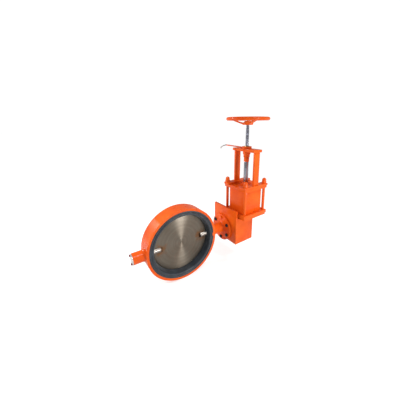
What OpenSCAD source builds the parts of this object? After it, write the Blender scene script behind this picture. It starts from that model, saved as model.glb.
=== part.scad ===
// Wafer butterfly valve, closed, turned by a tie-rod air cylinder through a
// crank box, with a threaded stem and handwheel as manual override.
// Frame: X along the valve shaft towards the crank box, Y along the pipe,
// Z up along the cylinder. The origin is the centre of the pipe.

/* [Valve body] */
// Outside diameter of the body ring
ring_od = 378; // [374:1:382]
// Width of the body ring along the pipe
ring_w = 78; // [76:1:80]
// Diameter of the blind shaft boss
boss_d = 54; // [50:1:56]
// Distance from the pipe centre to the end of the boss
boss_end = 241; // [236:1:250]
// Diameter of the neck that carries the drive shaft
neck_d = 58; // [56:1:64]
// Diameter of the round flange on the neck
flange_d = 153; // [150:1:156]
// Thickness of that flange
flange_t = 13; // [12:1:14]
// Bolt circle of the flange
flange_pcd = 120; // [116:1:122]

/* [Disc and shafts] */
// Diameter of the disc over its sealing edge
disc_d = 298; // [297:0.5:298.4]
// Thickness of the disc plate
disc_t = 12; // [10:1:14]
// Diameter of both shafts
shaft_d = 30; // [28:1:30]
// Distance from the pipe centre to the inner end of each shaft
shaft_in = 110; // [106:1:118]
// Radial running clearance of every shaft in its bush
run_gap = 0.05; // [0.03:0.01:0.09]

/* [Crank box] */
// Thickness of the mounting plate behind the flange
plate_t = 12; // [10:1:12]
// Wall thickness of the box
wall = 8; // [7:1:9]
// Height of the box walls above the shaft
box_top = 84; // [82:1:84]
// Depth of the box below the shaft
box_low = 67; // [66:1:70]
// Radius of the crank pin circle
crank_r = 56; // [54:0.5:57]
// Diameter of the crank pin
pin_d = 14; // [13:0.5:14]

/* [Cylinder] */
// Bore of the cylinder
bore_d = 100; // [96:1:100]
// Side of the square barrel tube
barrel_side = 130; // [126:1:132]
// Side of the square lower cover
cover_side = 167; // [164:1:168]
// Distance from the axis to each tie rod, along X and along Y
tie_at = 70; // [69:0.5:70.5]
// Diameter of the tie rods
tie_d = 15; // [14:0.5:15.5]
// Diameter of the piston rod
rod_d = 25; // [24:0.5:25]

/* [Yoke and handwheel] */
// Width of the flat-bar pillars
pillar_w = 36; // [32:1:38]
// Outside diameter of the handwheel
wheel_d = 220; // [200:2:240]
// Diameter of the handwheel rim tube
rim_d = 17.6; // [16:0.2:18]
// Diameter of the threaded stem
stem_d = 18; // [17.5:0.5:18]

/* [Hidden] */
$fn = 96;

paint = "orangered";
steel = "silver";

eps = 0.1;           // gap between seated pieces
far = 400;           // longer than anything it cuts
r_ring = ring_od / 2;
half_w = ring_w / 2;
r_shaft = shaft_d / 2;
r_run = r_shaft + run_gap;

// valve body and liner
r_seat = disc_d / 2 + 0.3;
r_body_bore = 160;
r_lip = 177;
lip_t = 5;
lip_proud = 1;
edge = 2;
r_bush = 18;
bush_in = 163;
bush_out = 226;
drive_bush_out = 222;
stub_end = 227;
pocket = 8;
pocket_depth = 3.5;
pocket_w = 26;
slot_half_w = 11;
rim_step = 9;
packing_in = 232;
r_packing = 21;
flange_x = 260;
plate_x = flange_x + flange_t;
box_x = plate_x + plate_t;
boss_root = 8;
neck_cone = 12;
m12_clear_r = 6.5;
m12_tap_r = 6.1;
m6_clear_r = 3.4;
m6_tap_r = 3.1;
cover_screw_at = 18.8;
cover_screw_angle = 58;
end_cover_t = 4;

// crank box
box_y0 = -112;
box_y1 = 60;
plate_y1 = 79;
plate_z0 = -box_low;
plate_z1 = 126;
plate_hole_r = 17;
box_far = 393;
cover_t = 6;
post = 14;
post_len = 30;
bearing_hole_r = 24;
shell_hole_r = 20;
bearing_flange_d = 76;
bearing_flange_t = 8;
bearing_out = 418;
bearing_r = 24;
bearing_bush_r = 16;
shaft_end_r = 12.5;
shaft_step_x = 391;
shaft_end_x = 426;
circlip_x = bearing_out + 0.8;
pointer_t = 3;
pointer_len = 34;
pointer_hub_r = 13;
bearing_screw_at = 30.5;
small_af = 10;
small_head = 4;

// cylinder, on its own axis
cyl_x = 372.7;
cyl_y = -72.8;
top_flange_side = 160;
z_flange = box_top;
z_base = 94;
z_barrel = 112;
z_cover = 241;
z_bar = 255;
z_pillar = 265;
z_yoke = 437;
z_yoke_top = 450;
upper_side = 161;
bar_w = 37;
barrel_corner_r = 16;
rod_bush_r = 16.5;
ring_groove = 1.6;
seal_cord_r = 1.2;
// screws that hold the cylinder to the top flange, all outside the box walls
flange_screws_at = [[58, 58], [58, -58], [-58, -58], [0, -66]];
m10_clear_r = 5.5;
m10_tap_r = 5.1;
m10_len = 21;
m10_af = 16;
m10_head = 6.4;
tie_socket = 5;
tie_top = z_pillar + 10;
tie_nut_af = 23;
tie_nut_t = 13;
dome_r = 11;
dome_z = 19;
gland_d = 58;
gland_t = 6;
gland_neck_d = 36;
gland_h = 16;
m5_clear_r = 2.8;
m5_r = 2.5;
m5_head_r = 4;
m5_head = 5;
m5_len = 14;
gland_screw_at = 16.5;
port_r = 4.4;
port_len = 14;
passage_r = 3;
seal_groove = 2.6;
seal_r = 52.5;

// crank motion
half_stroke = crank_r * sin(45);
stroke = 2 * half_stroke;
cheek_in = 11;
cheek_t = 6;
crank_hub_r = 21;
cheek_end_r = 12;
arm_half_w = 10.5;
cross_half_x = 10;
cross_y_in = 24;
cross_half_z = 17;
slot_half_z = pin_d / 2 + 2;
slot_y_in = half_stroke - pin_d / 2 - 1;
slot_y_out = crank_r + pin_d / 2 + 1;
key_w = 8;
key_x0 = cyl_x - 15;
key_len = 30;
key_bottom = 11;
key_top = 18.3;

// piston and rod, at the top of the stroke
spigot_r = 7;
cross_lock_t = 8;
z_cross = half_stroke;
z_rod_low = z_cross + cross_half_z + cross_lock_t;
z_rod_top = 382;
piston_t = 30;
z_piston = 204;
piston_core_r = 10;
piston_nut_t = 9;
rod_screwed_r = 10;
spigot_len = 13;
seal_at = [4, 21];
seal_t = 4;
seal_in = 4;
wear_at = 11;
wear_t = 7;
wear_in = 2.5;

// swivel between rod and stem
coupling_r = 14;
z_coupling_top = 404;
z_spigot_top = 388;
cavity_r = 11;
lip_bore_r = 7.4;
washer_t = 1.5;
collar_t = 5.2;
z_collar = 389.8;
stem_neck_r = 7;
z_stem = 405;

// yoke
pillar_at = 71;
pillar_t = 12;
yoke_half_y = 80;
yoke_half_x = 28;
housing_r = 20;
housing_nose_r = 16.5;
z_nose = 405.5;
z_nose_top = 417;
z_cone_top = 424;

// stem nut, lock nut and wheel
r_stem = stem_d / 2;
nut_r = 13;
z_nut = 407;
z_nut_top = 464;
z_lock = 450.4;
lock_t = 11;
lock_nut_d = 50;
lever_heading = 130;
lever_z = [456, 467, 461, 455.6];
lever_reach = [20, 110, 131, 136.4];
elbow_r = 3.5;
tip_r = 5;
tip_step = 3.7;
lever_r = 3.2;
z_hub = 570;
hub_d = 55;
hub_t = 12;
hub_boss_r = 17;
hub_boss_t = 20;
z_rim = 600;
rim_r = (wheel_d - rim_d) / 2;
spoke_r = 5.5;
spoke_count = 3;
spoke_start = 249;

// hexagon with a given width across flats, extruded along Z
module hex(af, h) {
  cylinder(d = af / cos(30), h = h, $fn = 6);
}

// tube along Z
module tube(r_out, r_in, h) {
  difference() {
    cylinder(r = r_out, h = h);
    translate([0, 0, -1])
      cylinder(r = r_in, h = h + 2);
  }
}

// turns a shape made along Z so that it runs along +X from x
module along_x(x) {
  translate([x, 0, 0])
    rotate([0, 90, 0])
      children();
}

// places children at the cylinder's axis and at height z
module on_axis(z = 0) {
  translate([cyl_x, cyl_y, z])
    children();
}

// square plate centred on Z
module square_plate(side, t) {
  translate([-side / 2, -side / 2, 0])
    cube([side, side, t]);
}

// the four corners at +a and -a
module four(a) {
  for (sx = [-1, 1])
    for (sy = [-1, 1])
      translate([sx * a, sy * a, 0])
        children();
}

// holes or screws on a circle in the YZ plane, first one at angle a0
module ring_x(r, count, a0 = 0) {
  for (i = [0 : count - 1])
    rotate([a0 + i * 360 / count, 0, 0])
      translate([0, r, 0])
        children();
}

// hex-head screw pointing along +X, its head's underside at x = 0
module screw_x(d, length, af, head) {
  rotate([0, 90, 0])
    cylinder(d = d, h = length);
  translate([-head, 0, 0])
    rotate([0, 90, 0])
      hex(af, head);
}

// places children at each screw that holds the cylinder to the top flange
module at_flange_screws() {
  for (p = flange_screws_at)
    translate(p)
      children();
}

// ---- valve body, liner and shaft fittings ----

module valve_body() {
  color(paint)
    difference() {
      union() {
        rotate([90, 0, 0])
          rotate_extrude()
            polygon([
              [r_body_bore, lip_t - half_w], [r_lip, lip_t - half_w], [r_lip, -half_w],
              [r_ring - edge, -half_w], [r_ring, edge - half_w], [r_ring, half_w - edge],
              [r_ring - edge, half_w], [r_lip, half_w], [r_lip, half_w - lip_t],
              [r_body_bore, half_w - lip_t]
            ]);
        along_x(-boss_end)
          cylinder(d = boss_d, h = boss_end - r_body_bore - boss_root);
        along_x(r_body_bore + boss_root)
          cylinder(d = neck_d, h = flange_x - r_body_bore);
        along_x(flange_x - neck_cone)
          cylinder(d1 = neck_d, d2 = neck_d + neck_cone, h = neck_cone + 0.5);
        along_x(flange_x)
          cylinder(d = flange_d, h = flange_t);
      }
      along_x(-far)
        cylinder(r = r_bush, h = far);
      along_x(0)
        cylinder(r = r_bush, h = far);
      along_x(packing_in)
        cylinder(r = r_packing, h = far);
      ring_x(flange_pcd / 2, 6, 30)
        along_x(0)
          cylinder(r = m12_clear_r, h = far);
      ring_x(cover_screw_at, 2, cover_screw_angle)
        along_x(-far)
          cylinder(r = m6_tap_r, h = far - boss_end + 14);
    }
}

module seat_liner() {
  lip = half_w + lip_proud;
  front = [
    [r_seat, -14], [152, -30], [154.5, -37], [157.5, -lip], [163, -lip],
    [165, 2 - lip], [169, 2 - lip], [171, -lip], [r_lip - 0.3, -lip],
    [r_lip - 0.3, lip_t - half_w - eps], [r_body_bore - eps, lip_t - half_w - eps]
  ];
  back = [for (i = [len(front) - 1 : -1 : 0]) [front[i][0], -front[i][1]]];
  color("darkslategray")
    difference() {
      rotate([90, 0, 0])
        rotate_extrude()
          polygon(concat(front, back));
      along_x(-far)
        cylinder(r = r_run, h = 2 * far);
    }
}

module stub_bush() {
  color("goldenrod")
    along_x(-bush_out)
      tube(r_bush - eps, r_run, bush_out - bush_in);
}

module drive_bush() {
  color("goldenrod")
    along_x(bush_in)
      tube(r_bush - eps, r_run, drive_bush_out - bush_in);
}

module shaft_packing() {
  color("black")
    for (i = [0 : 1])
      along_x(packing_in + 0.5 + i * 7)
        tube(r_packing - eps, r_run, 6.5);
}

module end_cover() {
  color(steel)
    difference() {
      along_x(-boss_end - end_cover_t)
        cylinder(d = boss_d - 2, h = end_cover_t - eps);
      ring_x(cover_screw_at, 2, cover_screw_angle)
        along_x(-far)
          cylinder(r = m6_clear_r - 0.2, h = far);
    }
}

module end_cover_screws() {
  color("darkred")
    ring_x(cover_screw_at, 2, cover_screw_angle)
      translate([-boss_end - end_cover_t - eps, 0, 0])
        screw_x(6, 16, 9, 4.5);
}

module flange_bolts() {
  color("black")
    ring_x(flange_pcd / 2, 6, 30)
      translate([flange_x - eps, 0, 0])
        screw_x(12, flange_t + plate_t - 2, 17, 7);
}

// ---- crank box ----

module mounting_plate() {
  color(paint)
    difference() {
      translate([plate_x, box_y0, plate_z0])
        cube([plate_t, plate_y1 - box_y0, plate_z1 - plate_z0]);
      along_x(plate_x - 1)
        cylinder(r = plate_hole_r, h = plate_t + 2);
      ring_x(flange_pcd / 2, 6, 30)
        along_x(plate_x - 1)
          cylinder(r = m12_tap_r, h = plate_t + 2);
    }
}

// centres of the four corner posts that take the cover screws
function post_y() = [box_y0 + wall + post / 2, box_y1 - wall - post / 2];
function post_z() = [wall + post / 2 - box_low, box_top - wall - post / 2];

module at_posts(x) {
  for (y = post_y())
    for (z = post_z())
      translate([x, y, z])
        children();
}

module housing_shell() {
  inner_y = box_y1 - box_y0 - 2 * wall;
  inner_z = box_top + box_low - 2 * wall;
  color(paint)
    difference() {
      union() {
        difference() {
          translate([box_x, box_y0, -box_low])
            cube([box_far - box_x, box_y1 - box_y0, box_top + box_low]);
          translate([box_x - 1, box_y0 + wall, wall - box_low])
            cube([box_far - box_x + 2, inner_y, inner_z]);
        }
        at_posts(box_far - post_len)
          translate([0, -post / 2, -post / 2])
            cube([post_len, post, post]);
      }
      at_posts(box_far - post_len / 2)
        along_x(0)
          cylinder(r = m6_tap_r, h = post_len);
      on_axis(box_top - wall - 1)
        cylinder(r = shell_hole_r, h = wall + 2);
    }
}

module housing_cover() {
  color(paint)
    difference() {
      translate([box_far, box_y0, -box_low])
        cube([cover_t, box_y1 - box_y0, box_top + box_low]);
      along_x(box_far - 1)
        cylinder(r = bearing_hole_r + 0.1, h = cover_t + 2);
      at_posts(box_far - 1)
        along_x(0)
          cylinder(r = m6_clear_r, h = cover_t + 2);
      ring_x(bearing_screw_at, 4, 45)
        along_x(box_far - 1)
          cylinder(r = m6_tap_r, h = cover_t + 2);
    }
}

module housing_cover_screws() {
  color("dimgray")
    at_posts(box_far + cover_t + eps)
      mirror([1, 0, 0])
        screw_x(6, 18, small_af, small_head);
}

module end_bearing() {
  color(paint)
    difference() {
      union() {
        along_x(box_far + cover_t)
          cylinder(d = bearing_flange_d, h = bearing_flange_t);
        along_x(box_far + 0.5)
          cylinder(r = bearing_r, h = bearing_out - box_far - 0.5);
      }
      along_x(box_far - 1)
        cylinder(r = bearing_bush_r, h = far);
      ring_x(bearing_screw_at, 4, 45)
        along_x(box_far - 1)
          cylinder(r = m6_clear_r, h = far);
    }
}

module end_bearing_screws() {
  color("dimgray")
    ring_x(bearing_screw_at, 4, 45)
      translate([box_far + cover_t + bearing_flange_t + eps, 0, 0])
        mirror([1, 0, 0])
          screw_x(6, 13, small_af, small_head);
}

module end_bearing_bush() {
  color("goldenrod")
    along_x(box_far + 1)
      tube(bearing_bush_r - eps, shaft_end_r + run_gap, bearing_out - box_far - 2);
}

module top_flange() {
  color(paint)
    difference() {
      on_axis(z_flange)
        square_plate(top_flange_side, z_base - z_flange);
      on_axis(z_flange - 1)
        cylinder(r = shell_hole_r, h = z_base);
      on_axis(z_flange - 1)
        at_flange_screws()
          cylinder(r = m10_clear_r, h = z_base);
    }
}

// ---- cylinder ----

// square outline with round corners
module rounded_square(side, r) {
  square([side, side - 2 * r], center = true);
  square([side - 2 * r, side], center = true);
  for (sx = [-1, 1])
    for (sy = [-1, 1])
      translate([sx * (side / 2 - r), sy * (side / 2 - r)])
        circle(r = r);
}

// air port in a cover: a tapped mouth on the +X side, a drilling and a riser
module air_port(half_side, z, up) {
  translate([half_side - port_len, 0, z])
    rotate([0, 90, 0])
      cylinder(r = port_r, h = port_len + 1);
  translate([bore_d / 2 - 10, 0, z])
    rotate([0, 90, 0])
      cylinder(r = passage_r, h = half_side - bore_d / 2);
  translate([bore_d / 2 - 8, 0, up ? z : z - far])
    cylinder(r = passage_r, h = far);
}

module lower_cover() {
  color(paint)
    on_axis()
      difference() {
        translate([0, 0, z_base])
          square_plate(cover_side, z_barrel - z_base);
        translate([0, 0, z_base - 1])
          cylinder(r = rod_bush_r, h = far);
        air_port(cover_side / 2, (z_base + z_barrel) / 2, true);
        translate([0, 0, z_barrel - seal_groove])
          tube(seal_r + ring_groove, seal_r - ring_groove, far);
        translate([0, 0, z_base + tie_socket])
          four(tie_at)
            cylinder(d = tie_d + 0.2, h = far);
        translate([0, 0, z_base - 1])
          at_flange_screws()
            cylinder(r = m10_tap_r, h = 14);
      }
}

module lower_cover_screws() {
  color("dimgray")
    on_axis(z_flange - eps)
      at_flange_screws() {
        cylinder(r = m10_tap_r - 0.1, h = m10_len);
        translate([0, 0, -m10_head])
          hex(m10_af, m10_head);
      }
}

module lower_rod_bush() {
  color("goldenrod")
    on_axis(z_base + 0.5)
      tube(rod_bush_r - eps, rod_d / 2 + run_gap, 11);
}

module rod_seals() {
  color("black") {
    on_axis(z_base + 12)
      tube(rod_bush_r - eps, rod_d / 2 + run_gap, 5.5);
    on_axis(z_bar - 5.8)
      tube(rod_bush_r - eps, rod_d / 2 + run_gap, 5.5);
  }
}

module barrel() {
  color(paint)
    on_axis(z_barrel)
      linear_extrude(z_cover - z_barrel)
        difference() {
          rounded_square(barrel_side, barrel_corner_r);
          circle(d = bore_d);
        }
}

module barrel_seals() {
  color("black")
    for (z = [z_barrel - seal_groove / 2 - 0.05, z_cover + seal_groove / 2 + 0.05])
      on_axis(z)
        rotate_extrude()
          translate([seal_r, 0])
            circle(r = seal_cord_r, $fn = 32);
}

module upper_cover() {
  color(paint)
    on_axis()
      difference() {
        translate([0, 0, z_cover])
          square_plate(upper_side, z_bar - z_cover);
        translate([0, 0, z_cover - 1])
          cylinder(r = rod_bush_r, h = far);
        air_port(upper_side / 2, (z_cover + z_bar) / 2, false);
        translate([0, 0, z_cover - 1])
          tube(seal_r + ring_groove, seal_r - ring_groove, seal_groove + 1);
        translate([0, 0, z_cover - 1])
          four(tie_at)
            cylinder(d = tie_d + 0.8, h = far);
        translate([0, 0, z_cover + 4])
          four(gland_screw_at)
            cylinder(r = m5_r + 0.1, h = far);
      }
}

module upper_rod_bush() {
  color("goldenrod")
    on_axis(z_cover + 0.5)
      tube(rod_bush_r - eps, rod_d / 2 + run_gap, 7.5);
}

module gland_plate() {
  color(paint)
    on_axis(z_bar)
      difference() {
        union() {
          cylinder(d = gland_d, h = gland_t);
          cylinder(d = gland_neck_d, h = gland_h);
        }
        translate([0, 0, -1])
          cylinder(r = rod_d / 2 + 0.4, h = far);
        translate([0, 0, -1])
          four(gland_screw_at)
            cylinder(r = m5_clear_r, h = far);
      }
}

module gland_screws() {
  color("dimgray")
    on_axis(z_bar + gland_t + eps)
      four(gland_screw_at) {
        translate([0, 0, -m5_len])
          cylinder(r = m5_r, h = m5_len);
        cylinder(r = m5_head_r, h = m5_head);
      }
}

module tie_rods() {
  color(paint)
    on_axis(z_base + tie_socket + 1)
      four(tie_at)
        cylinder(d = tie_d, h = tie_top - z_base - tie_socket - 1);
}

module tie_rod_nuts() {
  color(paint)
    on_axis(z_pillar)
      four(tie_at)
        difference() {
          union() {
            hex(tie_nut_af, tie_nut_t);
            cylinder(r = dome_r, h = dome_z);
            translate([0, 0, dome_z])
              sphere(r = dome_r);
          }
          translate([0, 0, -1])
            cylinder(d = tie_d + 0.2, h = dome_z);
        }
}

module side_bars() {
  color(paint)
    on_axis(z_bar)
      for (sy = [-1, 1])
        difference() {
          translate([-cover_side / 2, sy > 0 ? cover_side / 2 - bar_w : -cover_side / 2, 0])
            cube([cover_side, bar_w, z_pillar - z_bar]);
          four(tie_at)
            translate([0, 0, -1])
              cylinder(d = tie_d + 0.8, h = far);
        }
}

// ---- yoke ----

module pillars() {
  color(paint)
    on_axis(z_pillar)
      for (sy = [-1, 1])
        translate([-pillar_w / 2, sy * pillar_at - pillar_t / 2, 0])
          cube([pillar_w, pillar_t, z_yoke - z_pillar]);
}

module yoke_plate() {
  color(paint)
    on_axis(z_yoke)
      difference() {
        translate([-yoke_half_x, -yoke_half_y, 0])
          cube([2 * yoke_half_x, 2 * yoke_half_y, z_yoke_top - z_yoke]);
        translate([0, 0, -1])
          cylinder(r = nut_r + eps, h = far);
      }
}

module nut_housing() {
  color(paint)
    on_axis()
      difference() {
        rotate_extrude()
          polygon([
            [0, z_nose], [housing_nose_r, z_nose], [housing_nose_r, z_nose_top],
            [housing_r, z_cone_top], [housing_r, z_yoke], [0, z_yoke]
          ]);
        translate([0, 0, z_nut - far])
          cylinder(r = r_stem + 1, h = 2 * far);
        translate([0, 0, z_nut - eps])
          cylinder(r = nut_r + eps, h = far);
      }
}

module stem_nut() {
  color("goldenrod")
    on_axis(z_nut)
      tube(nut_r, r_stem + run_gap, z_nut_top - z_nut);
}

// ---- disc, shafts and crank ----

module disc() {
  half_t = disc_t / 2;
  r_disc = disc_d / 2;
  rim = [for (a = [-0.9 : 0.3 : 0.9]) [r_disc * cos(a), r_disc * sin(a)]];
  color("gray")
    difference() {
      rotate([90, 0, 0])
        rotate_extrude()
          polygon(concat([[0, -half_t], [r_disc - rim_step, -half_t]], rim,
                         [[r_disc - rim_step, half_t], [0, half_t]]));
      for (turn = [0, 180])
        rotate([0, 0, turn]) {
          translate([shaft_in - eps, -far, -slot_half_w])
            cube([far, 2 * far, 2 * slot_half_w]);
          for (y = [-far, half_t - pocket_depth])
            translate([shaft_in - pocket, y, -pocket_w / 2])
              cube([pocket + 4, y < 0 ? far - half_t + pocket_depth : far, pocket_w]);
        }
    }
}

// grooved inner end of a shaft: the disc's slot edges sit in the grooves
module shaft_grooves() {
  for (side = [-1, 1])
    translate([-1, -disc_t / 2 - eps, side > 0 ? slot_half_w - eps : -far - slot_half_w + eps])
      cube([disc_d / 2 - shaft_in + 1.4, disc_t + 2 * eps, far]);
}

module stub_shaft() {
  color(steel)
    mirror([1, 0, 0])
      difference() {
        along_x(shaft_in)
          cylinder(r = r_shaft, h = stub_end - shaft_in);
        translate([shaft_in, 0, 0])
          shaft_grooves();
      }
}

module drive_shaft() {
  color(steel)
    difference() {
      union() {
        along_x(shaft_in)
          cylinder(r = r_shaft, h = shaft_step_x - shaft_in);
        along_x(shaft_step_x - 1)
          cylinder(r = shaft_end_r, h = shaft_end_x - shaft_step_x + 1);
      }
      translate([shaft_in, 0, 0])
        shaft_grooves();
      translate([key_x0, -key_w / 2, key_bottom])
        cube([key_len, key_w, far]);
      along_x(circlip_x)
        tube(shaft_end_r + 1, shaft_end_r - 1, 1.4);
      along_x(shaft_end_x - 14)
        cylinder(r = m6_tap_r, h = 20);
    }
}

// one cheek of the crank, lying along -Y, its pin end round
module cheek(x) {
  arm_start = crank_hub_r - 3;
  translate([x, 0, 0]) {
    translate([0, -crank_r, -arm_half_w])
      cube([cheek_t, crank_r - arm_start, 2 * arm_half_w]);
    translate([0, -crank_r, 0])
      rotate([0, 90, 0])
        cylinder(r = cheek_end_r, h = cheek_t);
  }
}

module crank() {
  color("dimgray")
    difference() {
      rotate([-45, 0, 0])
        difference() {
          union() {
            cheek(cyl_x - cheek_in - cheek_t);
            cheek(cyl_x + cheek_in);
            along_x(cyl_x - cheek_in - cheek_t - 0.5)
              cylinder(r = crank_hub_r, h = 2 * (cheek_in + cheek_t) + 1);
          }
          translate([0, -crank_r, 0])
            along_x(0)
              cylinder(d = pin_d + 0.04, h = 2 * far);
        }
      along_x(0)
        cylinder(r = r_shaft + 0.02, h = 2 * far);
      translate([0, -key_w / 2, 5])
        cube([2 * far, key_w, key_top - 5]);
    }
}

module crank_key() {
  color(steel)
    translate([key_x0 + eps, eps - key_w / 2, key_bottom + eps])
      cube([key_len - 2 * eps, key_w - 2 * eps, key_top - key_bottom - 2 * eps]);
}

module crank_pin() {
  color(steel)
    translate([0, -half_stroke, half_stroke])
      along_x(cyl_x - cheek_in - cheek_t - 1)
        cylinder(d = pin_d, h = 2 * (cheek_in + cheek_t + 1));
}

module shaft_circlip() {
  color("black")
    along_x(circlip_x + eps)
      tube(shaft_end_r + 3, shaft_end_r - 0.9, 1.2);
}

module position_pointer() {
  color(steel)
    difference() {
      union() {
        along_x(shaft_end_x + eps)
          cylinder(r = pointer_hub_r, h = pointer_t);
        translate([shaft_end_x + eps, -pointer_len, -4])
          cube([pointer_t, pointer_len, 8]);
      }
      along_x(shaft_end_x - 1)
        cylinder(r = m6_clear_r, h = 2 * pointer_t);
    }
}

module pointer_screw() {
  color("dimgray")
    translate([shaft_end_x + pointer_t + 2 * eps, 0, 0])
      mirror([1, 0, 0])
        screw_x(6, 14, small_af, small_head);
}

// ---- piston rod assembly ----

module piston_rod() {
  color("lightsteelblue")
    on_axis() {
      translate([0, 0, z_rod_low])
        cylinder(r = rod_d / 2, h = z_piston - z_rod_low);
      translate([0, 0, z_cross - spigot_len])
        cylinder(r = spigot_r, h = z_rod_low - z_cross + spigot_len + 0.5);
      translate([0, 0, z_piston - 0.5])
        cylinder(r = piston_core_r, h = piston_t + 1);
      translate([0, 0, z_piston + piston_t])
        cylinder(r = rod_d / 2, h = z_rod_top - z_piston - piston_t);
      translate([0, 0, z_rod_top - 0.5])
        cylinder(r = rod_screwed_r, h = z_spigot_top - z_rod_top + 0.5);
    }
}

module piston() {
  color("gray")
    on_axis(z_piston + eps)
      difference() {
        cylinder(d = bore_d - 0.1, h = piston_t - 2 * eps);
        translate([0, 0, -1])
          cylinder(r = piston_core_r + 0.05, h = far);
        for (z = seal_at)
          translate([0, 0, z])
            tube(far, bore_d / 2 - seal_in, seal_t);
        translate([0, 0, wear_at])
          tube(far, bore_d / 2 - wear_in, wear_t);
      }
}

module piston_seals() {
  color("black")
    for (z = seal_at)
      on_axis(z_piston + z + 2 * eps)
        tube(bore_d / 2 - 0.05, bore_d / 2 - seal_in + 0.05, seal_t - 2 * eps);
}

module wear_ring() {
  color("saddlebrown")
    on_axis(z_piston + wear_at + 2 * eps)
      tube(bore_d / 2 - 0.05, bore_d / 2 - wear_in + 0.05, wear_t - 2 * eps);
}

module piston_nut() {
  color("dimgray")
    on_axis(z_piston - piston_nut_t)
      difference() {
        hex(36, piston_nut_t);
        translate([0, 0, -1])
          cylinder(r = rod_d / 2 + 0.05, h = far);
      }
}

module crosshead() {
  outer_y = cyl_y - 15.2;
  color("slategray")
    difference() {
      translate([cyl_x - cross_half_x, outer_y, z_cross - cross_half_z])
        cube([2 * cross_half_x, -cross_y_in - outer_y, 2 * cross_half_z]);
      translate([cyl_x - far, -slot_y_out, z_cross - slot_half_z])
        cube([2 * far, slot_y_out - slot_y_in, 2 * slot_half_z]);
      on_axis(z_cross - spigot_len - 1)
        cylinder(r = spigot_r + 0.05, h = far);
    }
}

module crosshead_lock_nut() {
  color("dimgray")
    on_axis(z_cross + cross_half_z + eps)
      difference() {
        hex(19, cross_lock_t - 2 * eps);
        translate([0, 0, -1])
          cylinder(r = spigot_r + 0.05, h = far);
      }
}

module stem_coupling() {
  color(paint)
    on_axis(z_rod_top)
      difference() {
        cylinder(r = coupling_r, h = z_coupling_top - z_rod_top);
        translate([0, 0, -1])
          cylinder(r = rod_screwed_r + 0.05, h = z_spigot_top - z_rod_top + 1.1);
        translate([0, 0, z_spigot_top - z_rod_top])
          cylinder(r = cavity_r, h = 9.2);
        translate([0, 0, -1])
          cylinder(r = lip_bore_r, h = far);
      }
}

module thrust_washers() {
  color("goldenrod")
    for (z = [z_spigot_top + 0.05, z_collar + collar_t + 0.3])
      on_axis(z)
        tube(cavity_r - 0.2, lip_bore_r, washer_t);
}

// ---- stem and handwheel ----

module stem() {
  color(steel)
    on_axis() {
      translate([0, 0, z_collar])
        cylinder(r = stem_neck_r, h = z_stem - z_collar + 0.5);
      translate([0, 0, z_stem])
        cylinder(r = r_stem, h = z_hub - z_stem);
      translate([0, 0, z_hub - 0.5])
        cylinder(r = r_stem - 1.5, h = hub_boss_t + 0.5);
      translate([0, 0, z_hub + hub_boss_t - 0.5])
        cylinder(r = 6, h = 15.5);
    }
}

module stem_collar() {
  color(steel)
    on_axis(z_collar)
      tube(cavity_r - 0.6, stem_neck_r + 0.05, collar_t);
}

module handwheel() {
  rise = z_rim - z_hub - hub_t / 2;
  reach = rim_r - hub_boss_r + 4;
  color(paint)
    on_axis(z_hub)
      difference() {
        union() {
          cylinder(d = hub_d, h = hub_t);
          cylinder(r = hub_boss_r, h = hub_boss_t);
          translate([0, 0, z_rim - z_hub])
            rotate_extrude()
              translate([rim_r, 0])
                circle(d = rim_d, $fn = 48);
          for (i = [0 : spoke_count - 1])
            rotate([0, 0, spoke_start + i * 360 / spoke_count])
              translate([hub_boss_r - 4, 0, hub_t / 2])
                rotate([0, atan2(reach, rise), 0])
                  cylinder(r = spoke_r, h = norm([reach, rise]));
        }
        translate([0, 0, -1])
          cylinder(r = r_stem - 1.4, h = far);
      }
}

module wheel_washer() {
  color(steel)
    on_axis(z_hub + hub_boss_t + eps)
      tube(12, 6.1, 2);
}

module wheel_nut() {
  color(steel)
    on_axis(z_hub + hub_boss_t + 2.2)
      difference() {
        hex(19, 10);
        translate([0, 0, -1])
          cylinder(r = 6.05, h = far);
      }
}

// ---- lock nut and its lever ----

module lock_nut() {
  color(paint)
    on_axis(z_lock)
      difference() {
        cylinder(d = lock_nut_d, h = lock_t);
        translate([0, 0, -1])
          cylinder(r = nut_r + run_gap + 0.02, h = far);
        translate([0, 0, -z_lock])
          lever_bar(0, lever_r + 0.05);
      }
}

// straight round bar from one point of the lever's run to the next
module lever_bar(i, r) {
  run = lever_reach[i + 1] - lever_reach[i];
  drop = lever_z[i + 1] - lever_z[i];
  rotate([0, 0, lever_heading])
    translate([lever_reach[i], 0, lever_z[i]])
      rotate([0, 90 - atan2(drop, run), 0])
        cylinder(r = r, h = norm([run, drop]));
}

module lock_lever() {
  color(paint)
    on_axis() {
      lever_bar(0, lever_r);
      for (i = [1 : 2]) {
        lever_bar(i, lever_r - 0.7);
        rotate([0, 0, lever_heading])
          translate([lever_reach[i], 0, lever_z[i]])
            sphere(r = elbow_r);
      }
    }
}

module lever_tip() {
  color("lightgray")
    on_axis(lever_z[3] - tip_step)
      rotate([0, 0, lever_heading])
        translate([lever_reach[3] + tip_step, 0, 0])
          sphere(r = tip_r);
}

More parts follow.
